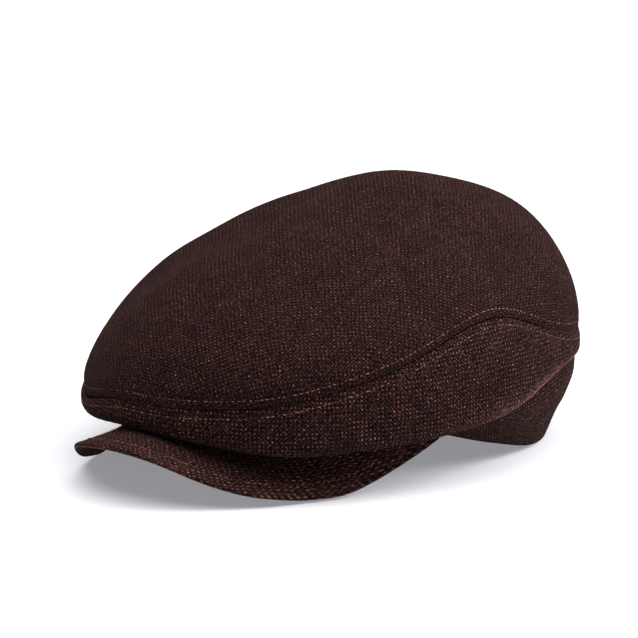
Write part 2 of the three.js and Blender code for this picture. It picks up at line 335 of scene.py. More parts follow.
def grid_normals(grid, closed=True):
    """Unit normals of a grid, down its rows crossed with round its columns."""
    down = np.gradient(grid, axis=0)
    if closed:
        round_it = np.roll(grid, -1, 1) - np.roll(grid, 1, 1)
    else:
        round_it = np.gradient(grid, axis=1)
    return unit(np.cross(down, round_it))


SEAM_ROWS = np.array([0, 0.3, 0.6, 0.9, 1.3, 1.8, 2.5, 3.3, 4.2, 5.1, 6.2, 7.5, 9]) / 1000
GROOVE_DEPTH = 0.0006
GROOVE_WIDTH = 0.0018
STITCH_SINK = 0.00035
STITCH_SINK_WIDTH = 0.0009
SEAM_PUFF = 0.0003
PUFF_AT = 1.9
PUFF_WIDTH = 0.8
# The seam's relief gets weaker towards the back.
SEAM_EASE = 0.7
EASE_FROM = math.radians(74)
EASE_OVER = math.radians(30)


def seam_relief(distance):
    """How far the cloth stands out by a topstitched seam, at each distance from it."""
    groove = -GROOVE_DEPTH * np.exp(-(distance / GROOVE_WIDTH) ** 2)
    row = -STITCH_SINK * np.exp(-((distance - STITCH_ROW) / STITCH_SINK_WIDTH) ** 2)
    from_puff = (distance - STITCH_ROW * PUFF_AT) / (STITCH_ROW * PUFF_WIDTH)
    puff = SEAM_PUFF * np.exp(-(from_puff ** 2))
    return groove + row + puff


def from_seam_rows(total, count):
    """Distances from the seam for each row: close ones beside it, then even ones to the edge."""
    share = np.linspace(0, 1, count + 1)[1:]
    near = np.repeat(SEAM_ROWS[:, None], len(total), 1)
    far = SEAM_ROWS[-1] + (total - SEAM_ROWS[-1])[None, :] * share[:, None]
    return np.concatenate([near, far])


TURNS = -math.pi + 2 * math.pi * np.arange(COLUMNS) / COLUMNS

# Dome of the top panel

POLE_SHARE = 0.55
POLE_STEPS = 80
DOME_STEPS = 240


def raw_dome(turn, t):
    """Share of the way out and height along the dome's curve at each turn."""
    rise = CROWN_TOP - seam_height(turn)
    mid = 3 * t * t * (1 - t)
    out = 3 * t * (1 - t) ** 2 * dome_flat(turn) + mid * (1 - dome_edge_in(turn)) + t ** 3
    drop = mid * (1 - dome_edge_rise(turn)) + t ** 3
    return out, CROWN_TOP - rise * drop


def pole_evening(turns, out, height):
    """A height change near the summit that takes out creases running to it."""
    shares = np.linspace(0, POLE_SHARE, POLE_STEPS)
    heights = np.stack([np.interp(shares, out[:, i], height[:, i]) for i in range(len(turns))], 1)
    waves = np.fft.rfft(heights, axis=1)
    order = np.maximum(np.arange(waves.shape[1]) - 2, 0)
    grown = 1 - (1 - shares / POLE_SHARE) ** 2
    waves *= grown[:, None] ** order[None, :]
    change = np.fft.irfft(waves, len(turns), axis=1) - heights
    columns = [np.interp(out[:, i], shares, change[:, i], right=0) for i in range(len(turns))]
    return np.stack(columns, 1)


def dome_grid(turns):
    """The dome's outside, rows from the summit to the seam."""
    t = np.linspace(0, 1, DOME_STEPS)[:, None]
    out, height = raw_dome(turns[None, :], t)
    height = height + pole_evening(turns, out, height)
    seam = crown_outline(turns, seam_reach(turns))
    summit = np.array([0, OPENING_Y + SUMMIT_BACK])
    plan = summit + (seam - summit)[None] * out[..., None]
    return placed(plan, height)


# Side panel's section

SHOULDER_STEPS = 60
ROLL_STEPS = 30
UNDER_STEPS = 20


def under_reach(turns):
    """Where the side panel's underside meets the band, and how far in that is."""
    at_joint = band_outline(turns, joint_height(turns))
    return at_joint, np.linalg.norm(at_joint - crown_outline(turns), axis=-1) - SEAM_GAP


def fold_roll(turns):
    return np.minimum(ROLL_SHARE * under_reach(turns)[1], FOLD_ROLL)


def side_grid(turns):
    """The side panel's outside, rows from the seam round the fold to the band."""
    outline = crown_outline(turns)
    seam_plan = crown_outline(turns, seam_reach(turns))
    fold, top = FOLD_HEIGHT * fold_share(turns), seam_height(turns)
    seam_inset = np.linalg.norm(seam_plan - outline, axis=-1)
    joint = joint_height(turns)
    at_joint, reach = under_reach(turns)
    radius = fold_roll(turns)
    widest = fold + radius + WIDEST_RISE * (top - fold - radius)
    t = np.linspace(0, 1, SHOULDER_STEPS)[:, None]
    inset = (1 - t) ** 2 * seam_inset + 2 * t * (1 - t) * SHOULDER_BULGE["inset"] * seam_inset
    pull = top - SHOULDER_BULGE["drop"] * (top - widest)
    height = (1 - t) ** 2 * top + 2 * t * (1 - t) * pull + t ** 2 * widest
    upper = placed(outline + unit(seam_plan - outline) * inset[..., None], height)
    bend = np.linspace(0, math.pi / 2, ROLL_STEPS)[:, None]
    roll_inset = radius * (1 - np.cos(bend))
    roll_height = fold + radius * (1 - np.sin(bend))
    share = np.linspace(0, 1, UNDER_STEPS)[1:, None]
    under_inset = radius + (reach - radius) * share
    under_height = fold + (joint - fold) * share
    inset = np.concatenate([roll_inset, under_inset])
    height = np.concatenate([roll_height, under_height])
    lower = placed(outline + unit(at_joint - outline) * inset[..., None], height)
    return np.concatenate([upper, lower])


# Band

BAND_STEPS = 120


def band_grid(turns):
    """The band's outside, rows from its top to the hem."""
    share = np.linspace(0, 1, BAND_STEPS)[:, None]
    top, hem = band_top_height(turns), hem_height(turns)
    height = top + (hem - top) * share
    return placed(band_outline(turns[None, :] + 0 * share, height), height)


# Meshes

TOP_STEPS = 88
SIDE_STEPS = 44
BAND_ROWS = 34
INNER_SKIP = 5
HEM_RIM = 7


def seam_first(grid, count):
    """A grid from the seam outwards, with close rows beside it and each row's distance from it."""
    lengths = arc_lengths(grid)
    wanted = from_seam_rows(lengths[-1], count)
    return resample(grid, lengths, wanted), wanted


SEAM_CLEAR = 0.00006


def trimmed(grid):
    """The grid with its first row drawn back a little from the seam, so two cloths just clear."""
    out = grid.copy()
    out[0] += unit(grid[1] - grid[0]) * SEAM_CLEAR
    return out


def outward_normals(grid):
    """A ring grid's normals, turned away from the middle of the head opening."""
    normals = grid_normals(grid)
    outward = grid - np.array([0, OPENING_Y, FOLD_HEIGHT])
    if (normals * outward).sum() < 0:
        return -normals
    return normals


def with_relief(grid, distance):
    """The grid with the seam's relief, which eases towards the back, and the cloth's dents."""
    eased = np.clip((np.abs(TURNS) - EASE_FROM) / EASE_OVER, 0, 1)
    height = seam_relief(distance) * (1 - SEAM_EASE * eased) + dents(grid)
    return grid + outward_normals(grid) * height[..., None]


def round_and_down(grid, slant, rim_highlight=0, start=0):
    """Grain places for a ring grid: way round and way down it from the start, turned by the
    slant of the cut. The third value is how much painted highlight each place takes, from 0 to 1."""
    closed = np.concatenate([grid, grid[:, :1]], 1)
    middle = closed[len(closed) // 2]
    steps = np.linalg.norm(np.diff(middle, axis=0), axis=-1)
    way = np.concatenate([[0], np.cumsum(steps)])
    way = way - way[-1] / 2
    first = np.append(start, start[0]) if np.ndim(start) else start
    down = arc_lengths(closed) + first
    across = np.broadcast_to(way[None, :], down.shape)
    u = across * math.cos(slant) - down * math.sin(slant)
    v = across * math.sin(slant) + down * math.cos(slant)
    return np.stack([u, v, rim_highlight + 0 * u], -1)


def from_summit(grid, total, distance):
    """Grain places for the one-piece top: laid out flat from the summit."""
    closed = np.concatenate([grid, grid[:, :1]], 1)
    plan = closed[..., :2] - np.array([0, OPENING_Y + SUMMIT_BACK])
    way = total[None, :] - distance
    way = np.concatenate([way, way[:, :1]], 1)
    flat = unit(plan) * way[..., None]
    return np.concatenate([flat, 0 * flat[..., :1]], -1)


def wall_rows(outer, grain, rim, thick=WALL):
    """Rings and grain rings all round a cloth wall: outside, rounded rim, inside coming back."""
    thick = np.broadcast_to(thick, outer.shape[:2])[..., None]
    normals = outward_normals(outer)
    rings, grains = list(outer), list(grain)
    along = unit(outer[-1] - outer[-2])
    half = WALL / 2
    core = outer[-1] - half * normals[-1]
    for a in np.linspace(0, math.pi, rim + 2)[1:-1]:
        rings.append(core + half * (math.cos(a) * normals[-1] + math.sin(a) * along))
        grains.append(grain[-1])
    for i in [*range(len(outer) - 1, 0, -INNER_SKIP), 0]:
        rings.append(outer[i] - thick[i] * normals[i])
        grains.append(grain[i])
    return rings, grains


def build_piece(name, points, quads, corners, extra, material, nodes=()):
    """A closed mesh piece that faces out, with its grain places, riding on the body."""
    triangles = np.concatenate([quads[:, [0, 1, 2]], quads[:, [0, 2, 3]]])
    a, b, c = (points[triangles[:, k]] for k in range(3))
    faces = quads.tolist() + [face for face, _ in extra]
    corner_rows = [corners.reshape(-1, 3)] + [np.array(places) for _, places in extra]
    inside_out = np.einsum("ij,ij->i", a, np.cross(b, c)).sum() < 0
    if inside_out:
        faces = [face[::-1] for face in faces]
        corner_rows = [corners[:, ::-1].reshape(-1, 3)]
        corner_rows += [np.array(places[::-1]) for _, places in extra]
    mesh = bpy.data.meshes.new(name)
    mesh.from_pydata(points.tolist(), [], faces)
    grain = mesh.attributes.new("grain", "FLOAT_VECTOR", "CORNER")
    grain.data.foreach_set("vector", np.concatenate(corner_rows).astype(np.float32).ravel())
    mesh.polygons.foreach_set("use_smooth", np.ones(len(mesh.polygons), bool))
    mesh.materials.append(material)
    piece = bpy.data.objects.new(name, mesh)
    bpy.context.scene.collection.objects.link(piece)
    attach(piece, "root")
    if nodes:
        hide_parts(*nodes)
    return piece


def faces_between(row, following, left, right, columns):
    """Four-sided faces from one row of points to the following one."""
    a, b = row * columns, following * columns
    return np.stack([a + left, b + left, b + right, a + right], 1)


def ring_body(name, rings, grains, tips, material, node):
    """A closed body through rings. With tips, each end closes to its tip; without, the last ring
    joins the first. A grain ring has one place more than its ring, where it meets itself."""
    columns = len(rings[0])
    points = np.concatenate(rings)
    i = np.arange(columns)
    j = (i + 1) % columns
    quads, corners, extra = [], [], []
    for r in range(len(rings) - 1 if tips else len(rings)):
        n = (r + 1) % len(rings)
        quads.append(faces_between(r, n, i, j, columns))
        g, h = grains[r], grains[n]
        corners.append(np.stack([g[:-1], h[:-1], h[1:], g[1:]], 1))
    for tip, row, forward in zip(tips, (0, len(rings) - 1), (True, False)):
        top = len(points)
        points = np.concatenate([points, [tip]])
        start = row * columns
        centre = np.zeros(3)
        g = grains[row]
        for k in range(columns):
            a, b = start + k, start + (k + 1) % columns
            if forward:
                extra.append(([top, a, b], [centre, g[k], g[k + 1]]))
            else:
                extra.append(([top, b, a], [centre, g[k + 1], g[k]]))
    quads, corners = np.concatenate(quads), np.concatenate(corners)
    return build_piece(name, points, quads, corners, extra, material, [node] if node else [])


# The peak

PEAK_COLUMNS = 200
PEAK_FACE_ROWS = 34
PEAK_EDGE_BENDS = 22
EDGE_SEAM_BEND = math.radians(-38)
EDGE_SEAM_WIDTH = math.radians(9)
EDGE_SEAM_DEPTH = 0.0004
# Where and how wide the painted highlight lies on the lower curve of the peak's rim.
LIP_HIGHLIGHT_BEND = math.radians(-58)
LIP_HIGHLIGHT_WIDTH = math.radians(16)


def beside_band(turn, height):
    """Points against the band's outside, a seam gap clear of it."""
    plan = band_outline(turn, height)
    middle = np.array([0, OPENING_Y])
    out = plan - middle
    length = np.linalg.norm(out, axis=-1, keepdims=True)
    return placed(middle + out * (length + SEAM_GAP) / length, height)


def peak_bends():
    """The turns of the peak's rounded rim, from its top to its underside."""
    return np.linspace(math.pi / 2, -math.pi / 2, PEAK_EDGE_BENDS + 2)[1:-1]


def peak_loops():
    """The peak's sections as closed loops, from one corner to the other."""
    along = np.linspace(-1, 1, PEAK_COLUMNS + 1)
    turn = along * PEAK_TURN
    ahead = PEAK_CORNER + (PEAK_REACH - PEAK_CORNER) * peak_ahead(np.abs(along))
    across = np.sign(along) * PEAK_WIDTH / 2 * peak_across(np.abs(along))
    edge = np.stack([across, OPENING_Y - ahead], -1)
    lift = PEAK_ARCH * peak_lift(np.abs(along))
    low = beside_band(turn, hem_height(turn))
    high = beside_band(turn, hem_height(turn) + PEAK_THICK)
    out = unit(edge - high[:, :2])
    radius = RIM_THICK / 2
    core = placed(edge - out * radius, lift + radius)
    level = placed(out, 0 * lift)
    upright = np.array([0, 0, 1.0])
    share = np.linspace(0, 1, PEAK_FACE_ROWS)[:, None, None]
    swell = PEAK_SWELL * np.sin(math.pi * share) * upright
    upper = high + (core + radius * upright - high) * share + swell
    under = core - radius * upright + (low - core + radius * upright) * share + swell
    rim = []
    for bend in peak_bends():
        groove = EDGE_SEAM_DEPTH * math.exp(-(((bend - EDGE_SEAM_BEND) / EDGE_SEAM_WIDTH) ** 2))
        reach = radius - groove
        rim.append(core + reach * (math.cos(bend) * level + math.sin(bend) * upright))
    loops = np.concatenate([upper, np.array(rim), under])
    return loops + dents(loops)[..., None] * upright


def peak_piece(material):
    """Builds the peak and gives back its sections."""
    loops = peak_loops()
    rows, columns = loops.shape[:2]
    way = arc_lengths(loops)
    bends = np.full(rows, math.pi)
    bends[PEAK_FACE_ROWS : PEAK_FACE_ROWS + PEAK_EDGE_BENDS] = peak_bends()
    # Painted highlight along the rim's lower curve, carried in the grain's third value.
    lip_highlight = np.exp(-(((bends - LIP_HIGHLIGHT_BEND) / LIP_HIGHLIGHT_WIDTH) ** 2))
    grain = np.stack([loops[..., 0], way, lip_highlight[:, None] + 0 * way], -1)
    i = np.arange(columns - 1)
    quads, corners = [], []
    for r in range(rows):
        n = (r + 1) % rows
        quads.append(faces_between(r, n, i, i + 1, columns))
        g, h = grain[r], grain[n]
        corners.append(np.stack([g[:-1], h[:-1], h[1:], g[1:]], 1))
    points = loops.reshape(-1, 3)
    extra = []
    for column, forward in ((0, True), (columns - 1, False)):
        tip = len(points)
        points = np.concatenate([points, [loops[:, column].mean(0)]])
        middle = grain[:, column].mean(0)
        for r in range(rows):
            n = (r + 1) % rows
            a, b = r * columns + column, n * columns + column
            g, h = grain[r, column], grain[n, column]
            if forward:
                extra.append(([tip, b, a], [middle, h, g]))
            else:
                extra.append(([tip, a, b], [middle, g, h]))
    quads, corners = np.concatenate(quads), np.concatenate(corners)
    build_piece("peak_cloth", points, quads, corners, extra, material, ["peak"])
    return loops


# Stitches and loose fibres

STITCH_SIDES = 6
STITCH_UNEVEN = 0.00015
STITCH_LOOK = 0.0004
STITCH_LEAN = 0.09
STITCH_LENGTHS = (0.8, 1.1)
STITCH_GAUGES = (0.8, 1.15)
STITCH_LIFTS = (-0.75, 1.0)
STITCH_DIVE = 1.2
STITCH_RINGS = [(-0.5, 0.35), (-0.36, 0.85), (0, 1), (0.36, 0.85), (0.5, 0.35)]


def stitch_piece(name, rows, material):
    """Short thread capsules along rows of points with normals, joined as one mesh."""
    points, faces = [], []
    angles = np.arange(STITCH_SIDES) * 2 * math.pi / STITCH_SIDES
    count = 0
    for path, normals in rows:
        way = np.concatenate([[0], np.cumsum(np.linalg.norm(np.diff(path, axis=0), axis=-1))])
        for start in np.arange(0, way[-1] - STITCH_STEP, STITCH_STEP):
            at = start + STITCH_STEP / 2 + rng.normal() * STITCH_UNEVEN
            middle, ahead, up = (
                np.array([np.interp(x, way, source[:, k]) for k in range(3)])
                for x, source in ((at, path), (at + STITCH_LOOK, path), (at, normals))
            )
            along = unit(ahead - middle)
            side = unit(np.cross(up, along))
            up = np.cross(along, side)
            along = unit(along + side * rng.normal() * STITCH_LEAN)
            length = STITCH_LENGTH * rng.uniform(*STITCH_LENGTHS)
            radius = STITCH_RADIUS * rng.uniform(*STITCH_GAUGES)
            base = middle + up * radius * rng.uniform(*STITCH_LIFTS)
            first = count
            for place, thick in STITCH_RINGS:
                sink = -((2 * place) ** 2) * radius * STITCH_DIVE
                centre = base + along * place * length + up * sink
                ring = centre + radius * thick * (
                    np.cos(angles)[:, None] * side + np.sin(angles)[:, None] * up
                )
                points.extend(ring.tolist())
            count += len(STITCH_RINGS) * STITCH_SIDES
            for r in range(len(STITCH_RINGS) - 1):
                for k in range(STITCH_SIDES):
                    m = (k + 1) % STITCH_SIDES
                    a = first + r * STITCH_SIDES
                    b = a + STITCH_SIDES
                    faces.append([a + k, a + m, b + m, b + k])
            last = first + (len(STITCH_RINGS) - 1) * STITCH_SIDES
            faces.append([first + k for k in reversed(range(STITCH_SIDES))])
            faces.append([last + k for k in range(STITCH_SIDES)])
    return plain_piece(name, points, faces, material)


def plain_piece(name, points, faces, material):
    mesh = bpy.data.meshes.new(name)
    mesh.from_pydata(points, [], faces)
    mesh.polygons.foreach_set("use_smooth", np.ones(len(mesh.polygons), bool))
    mesh.materials.append(material)
    piece = bpy.data.objects.new(name, mesh)
    bpy.context.scene.collection.objects.link(piece)
    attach(piece, "root")
    return piece


FIBRE_LENGTH = (0.0007, 0.0022)
FIBRE_WIDTH = 0.00005
FIBRE_STAND = (0.25, 1)
FIBRE_ROOT = 0.0002
TOP_FIBRES = 14000
SIDE_FIBRES = 9000
BAND_FIBRES = 4500
PEAK_FIBRES = 3000
POLE_ROWS = 12
HIDDEN_ROWS = 8


def fibre_piece(name, grid, normals, count, material):
    """Loose wool fibres on a grid's outside: slender closed spikes that lean every way."""
    cells = np.linalg.norm(
        np.cross(np.diff(grid, axis=0)[:, :-1], np.diff(grid, axis=1)[:-1]), axis=-1
    )
    chance = cells.ravel() / cells.sum()
    picked = rng.choice(len(chance), count, p=chance)
    row, column = np.divmod(picked, cells.shape[1])
    s, t = rng.random((2, count, 1))
    near = grid[row, column] * (1 - s) + grid[row, column + 1] * s
    far = grid[row + 1, column] * (1 - s) + grid[row + 1, column + 1] * s
    root = near * (1 - t) + far * t
    up = normals[row, column]
    lean = rng.normal(size=(count, 3))
    lean = unit(lean - up * (lean * up).sum(-1, keepdims=True))
    out = up * rng.uniform(*FIBRE_STAND, (count, 1)) + lean
    way = unit(out) * rng.uniform(*FIBRE_LENGTH, (count, 1))
    side = unit(np.cross(way, up)) * FIBRE_WIDTH
    lift = unit(np.cross(side, way)) * FIBRE_WIDTH
    root = root - up * FIBRE_ROOT
    corners = np.stack([root + side, root - side, root + lift, root + way], 1)
    start = 4 * np.arange(count)[:, None, None]
    faces = start + np.array([[0, 2, 1], [0, 1, 3], [1, 2, 3], [2, 0, 3]])
    return plain_piece(
        name, corners.reshape(-1, 3).tolist(), faces.reshape(-1, 3).tolist(), material
    )


# Materials

class Nodes:
    """Builds a material's nodes, with plain calls for the maths."""

    def __init__(self, name):
        self.material = bpy.data.materials.new(name)
        self.material.use_nodes = True
        self.tree = self.material.node_tree
        self.shader = self.tree.nodes["Principled BSDF"]

    def add(self, kind, **inputs):
        node = self.tree.nodes.new(kind)
        for key, value in inputs.items():
            self.feed(node.inputs[key.replace("_", " ")], value)
        return node

    def feed(self, socket, value):
        if isinstance(value, bpy.types.NodeSocket):
            self.tree.links.new(value, socket)
        else:
            socket.default_value = value

    def math(self, operation, *values):
        node = self.tree.nodes.new("ShaderNodeMath")
        node.operation = operation
        for socket, value in zip(node.inputs, values):
            self.feed(socket, value)
        return node.outputs[0]

    def vector(self, operation, *values):
        node = self.tree.nodes.new("ShaderNodeVectorMath")
        node.operation = operation
        for socket, value in zip(node.inputs, values):
            self.feed(socket, value)
        return node.outputs[0]

    def swing(self, noise, spread):
        """A noise's colour as a vector about nought."""
        middled = self.vector("SUBTRACT", noise, (0.5, 0.5, 0.5))
        return self.vector("MULTIPLY", middled, (spread,) * 3)

    def mix(self, share, low, high):
        """low where share is 0 and high where it is 1."""
        return self.math("ADD", self.math("MULTIPLY", share, self.math("SUBTRACT", high, low)), low)

    def noise(self, place, scale, detail=2.0, roughness=0.5):
        settings = dict(Scale=scale, Detail=detail, Roughness=roughness)
        return self.add("ShaderNodeTexNoise", Vector=place, **settings).outputs

    def white(self, x, y):
        place = self.add("ShaderNodeCombineXYZ", X=x, Y=y).outputs[0]
        node = self.tree.nodes.new("ShaderNodeTexWhiteNoise")
        node.noise_dimensions = "2D"
        self.feed(node.inputs["Vector"], place)
        return node.outputs["Value"]

    def ramp(self, value, stops):
        node = self.tree.nodes.new("ShaderNodeValToRGB")
        self.feed(node.inputs["Fac"], value)
        elements = node.color_ramp.elements
        while len(elements) < len(stops):
            elements.new(0.5)
        for element, (place, colour) in zip(elements, stops):
            element.position = place
            element.color = (*colour, 1)
        return node.outputs["Color"]


WOOL_COLOURS = [
    (0.0, (0.0008, 0.0004, 0.0004)),
    (0.22, (0.0034, 0.0014, 0.0014)),
    (0.45, (0.0165, 0.0066, 0.0062)),
    (0.66, (0.045, 0.0182, 0.0166)),
    (0.84, (0.1, 0.045, 0.04)),
    (1.0, (0.22, 0.125, 0.105)),
]

# Lengths of the wool's unevenness, in metres
WANDER_LENGTH = 0.0075
MOTTLE_LENGTH = 0.013
FIBRE_LENGTH_ALONG = 0.0016
FIBRE_GAUGE = 0.00042
FLECK_LENGTH = 0.0012
THREAD_WANDER = 0.0023
DYE_LENGTH = 0.002

# The shape of a thread where it lies on top. The weft stands less proud than the warp.
WEAVE_HEIGHT = 0.0011
RIDGE_SHARPNESS = 2.0
THREAD_ROUND = 0.7
FLOAT_ROUND = 0.6
WEFT_SHARE = 0.4
# How high the threads stand under the painted highlight, where they are drawn flatter.
HIGHLIGHT_THREAD_HEIGHT = 0.75

# The tone along the colours above, and how far each thing swings it
MEAN_TONE = 0.37
# Painted shade: the tone follows the threads' height, darker in the gaps between them and lighter
# on their tops.
MEAN_HEIGHT = 0.4
GAP_SHADE_GAIN = 0.52
# How much paler the painted highlight along the fold and the peak's rim makes the wool.
HIGHLIGHT_TONE = 0.36
THREAD_GAIN = 0.08
CELL_GAIN = 0.14
FIBRE_GAIN = 0.9
FLECK_GAIN = 1.6
MOTTLE_GAIN = 0.3
DYE_SPREAD = 1.0

# The relief's parts beside the threads' own height
FIBRE_RELIEF = 0.5
FLECK_RELIEF = 0.8
CELL_RELIEF = 0.25

# Places in the noise that keep warp and weft unlike
WARP_PLACE, WEFT_PLACE = 3.1, 7.7
WARP_DRAW, WEFT_DRAW = 3.7, 9.1


def wool(name, offset, contrast=1.0, lighter=0.0):
    """Thick plain-woven wool: rounded threads over and under, each with its own tone, and loose
    fibre. The contrast scales how far tones swing, and lighter shifts them all."""
    n = Nodes(name)
    grain = n.tree.nodes.new("ShaderNodeAttribute")
    grain.attribute_name = "grain"
    flat = n.vector("MULTIPLY", grain.outputs["Vector"], (1, 1, 0))
    place = n.vector("ADD", flat, (offset, offset, 0))
    # The grain's third value is the painted highlight along the fold and the peak's rim.
    rim_highlight = n.add("ShaderNodeSeparateXYZ", Vector=grain.outputs["Vector"]).outputs[2]
    wander = n.noise(place, 1 / WANDER_LENGTH, 3.0, 0.65)["Color"]
    shift = n.swing(wander, THREAD_WANDER)
    warped = n.vector("MULTIPLY", n.vector("ADD", place, shift), (1 / THREAD,) * 3)
    split = n.add("ShaderNodeSeparateXYZ", Vector=warped)
    u, v = split.outputs[0], split.outputs[1]
    iu, iv = n.math("FLOOR", u), n.math("FLOOR", v)
    fu, fv = n.math("SUBTRACT", u, iu), n.math("SUBTRACT", v, iv)

    def ridge(f):
        across = n.math("ABSOLUTE", n.math("MULTIPLY_ADD", f, 2.0, -1.0))
        return n.math("SUBTRACT", 1.0, n.math("POWER", across, RIDGE_SHARPNESS))

    odd = n.math("MODULO", n.math("ABSOLUTE", n.math("ADD", iu, iv)), 2.0)
    warp_on_top = n.math("GREATER_THAN", odd, 0.5)
    length = n.mix(warp_on_top, fu, fv)
    across = n.mix(warp_on_top, fv, fu)
    along_bulge = n.math("POWER", ridge(length), FLOAT_ROUND)
    height = n.math("MULTIPLY", n.math("POWER", ridge(across), THREAD_ROUND), along_bulge)
    height = n.math("MULTIPLY", height, n.mix(warp_on_top, WEFT_SHARE, 1.0))
    height = n.mix(rim_highlight, height, HIGHLIGHT_THREAD_HEIGHT)

    def fibre(place_scale, offset_share):
        stretched = n.vector("MULTIPLY", warped, place_scale)
        moved = n.vector("ADD", stretched, (offset_share, offset_share, offset_share))
        return n.noise(moved, 1.0, 2.0, 0.6)["Fac"]

    along = THREAD / FIBRE_LENGTH_ALONG
    fine = THREAD / FIBRE_GAUGE
    warp_fibre = fibre((fine, along, 1.0), WARP_PLACE)
    weft_fibre = fibre((along, fine, 1.0), WEFT_PLACE)
    fibres = n.mix(warp_on_top, weft_fibre, warp_fibre)
    warp_tone, weft_tone = n.white(iu, WARP_DRAW), n.white(iv, WEFT_DRAW)
    thread_tone = n.mix(warp_on_top, weft_tone, warp_tone)
    cell_tone = n.white(iu, iv)
    fleck = n.noise(place, 1 / FLECK_LENGTH, 2.0, 0.6)["Fac"]
    mottle = n.noise(place, 1 / MOTTLE_LENGTH, 3.0, 0.6)["Fac"]
    # Painted shade: darker in the gaps between threads, lighter on their tops.
    tone = n.math("MULTIPLY", n.math("SUBTRACT", height, MEAN_HEIGHT), GAP_SHADE_GAIN * contrast)
    parts = (
        (thread_tone, THREAD_GAIN),
        (cell_tone, CELL_GAIN),
        (fibres, FIBRE_GAIN),
        (fleck, FLECK_GAIN),
        (mottle, MOTTLE_GAIN),
    )
    for part, gain in parts:
        middled = n.math("SUBTRACT", part, 0.5)
        tone = n.math("ADD", tone, n.math("MULTIPLY", middled, gain * contrast))
    # Painted highlight where the fold and the peak's rim catch the light.
    tone = n.math("ADD", tone, n.math("MULTIPLY", rim_highlight, HIGHLIGHT_TONE))
    tone = n.math("ADD", tone, MEAN_TONE + lighter)
    dye = n.noise(place, 1 / DYE_LENGTH, 2.0, 0.6)["Color"]
    tint = n.vector("ADD", n.swing(dye, DYE_SPREAD), (1, 1, 1))
    colour = n.vector("MULTIPLY", n.ramp(tone, WOOL_COLOURS), tint)
    relief = height
    for part, gain in ((fibres, FIBRE_RELIEF), (fleck, FLECK_RELIEF), (cell_tone, CELL_RELIEF)):
        relief = n.math("ADD", relief, n.math("MULTIPLY", part, gain))
    bump = n.add("ShaderNodeBump", Strength=1.0, Distance=WEAVE_HEIGHT, Height=relief)
    n.feed(n.shader.inputs["Base Color"], colour)
    n.feed(n.shader.inputs["Normal"], bump.outputs[0])
    n.shader.inputs["Roughness"].default_value = 1.0
    n.shader.inputs["Specular IOR Level"].default_value = 0.02
    n.shader.inputs["Sheen Weight"].default_value = 0.02
    n.shader.inputs["Sheen Roughness"].default_value = 0.5
    n.shader.inputs["Sheen Tint"].default_value = (0.9, 0.55, 0.45, 1)
    return n.material


STITCH_DARK, STITCH_LIGHT = (0.045, 0.0165, 0.0115), (0.23, 0.1, 0.064)
FUZZ_DARK, FUZZ_LIGHT = (0.012, 0.0055, 0.005), (0.09, 0.05, 0.042)
THREAD_FLECKS = 420.0


def thread(name, dark, light):
    """Spun sewing thread or loose fibre, uneven along its length."""
    n = Nodes(name)
    place = n.tree.nodes.new("ShaderNodeTexCoord").outputs["Object"]
    fleck = n.noise(place, THREAD_FLECKS, 2.0)["Fac"]
    n.feed(n.shader.inputs["Base Color"], n.ramp(fleck, [(0.35, dark), (0.65, light)]))
    n.shader.inputs["Roughness"].default_value = 0.85
    n.shader.inputs["Specular IOR Level"].default_value = 0.1
    return n.material


# The pieces

top_wool = wool("top_wool", 0.31, contrast=0.84)
side_wool = wool("side_wool", 0.57)
band_wool = wool("band_wool", 0.83, contrast=1.1)
peak_wool = wool("peak_wool", 1.19, contrast=0.85, lighter=0.12)
stitch_thread = thread("stitch_thread", STITCH_DARK, STITCH_LIGHT)
loose_wool = thread("loose_wool", FUZZ_DARK, FUZZ_LIGHT)

SLANT = math.radians(45)

dense = dome_grid(TURNS)[::-1]
top_grid, top_way = seam_first(dense, TOP_STEPS)
summit = top_grid[-1, 0]
top_total = top_way[-1]
top_outer = with_relief(trimmed(top_grid)[:-1], top_way[:-1])
top_grain = from_summit(top_outer, top_total, top_way[:-1])
top_normals = outward_normals(top_outer)
rings = list(top_outer[::-1])
grains = list(top_grain[::-1])
for i in [*range(0, len(top_outer) - 1, INNER_SKIP), len(top_outer) - 1]:
    rings.append(top_outer[i] - WALL * top_normals[i])
    grains.append(top_grain[i])
tip = top_outer[-1].mean(0)
tips = [tip, tip - np.array([0, 0, WALL])]
top_cloth = ring_body("top_cloth", rings, grains, tips, top_wool, "top_panel")

side_grid_rows, side_way = seam_first(side_grid(TURNS), SIDE_STEPS)
side_outer = with_relief(trimmed(side_grid_rows), side_way)
side_normals = outward_normals(side_outer)
fold_height = FOLD_HEIGHT * fold_share(TURNS)
above_fold = side_outer[:, :, 2] - fold_height
# Painted highlight: a paler band along the fold from the sides to the back, weaker towards the
# back.
highlight_width = HIGHLIGHT_RIM * np.clip((seam_height(TURNS) - fold_height) / HIGHLIGHT_FULL, 0, 1)
highlight_turn = np.clip((np.abs(TURNS) - HIGHLIGHT_FROM) / HIGHLIGHT_FADE, 0, 1)
towards_back = np.clip((np.abs(TURNS) - HIGHLIGHT_BACK) / HIGHLIGHT_FADE, 0, 1)
highlight_turn *= 1 - HIGHLIGHT_LESS * towards_back
side_highlight = highlight_turn * np.exp(-((above_fold / highlight_width) ** 2))
side_highlight = np.concatenate([side_highlight, side_highlight[:, :1]], 1)
near_fold = np.exp(-((np.maximum(above_fold, 0) / THIN_RISE) ** 2))
side_thick = WALL + (np.minimum(THIN_SHARE * fold_roll(TURNS), WALL) - WALL) * near_fold
side_grain = round_and_down(side_outer, SLANT, side_highlight, SEAM_HEIGHT - seam_height(TURNS))
side_rings, side_grains = wall_rows(side_outer, side_grain, 0, side_thick)
side_cloth = ring_body(
    "side_cloth", side_rings, side_grains, (), side_wool, "side_panel"
)

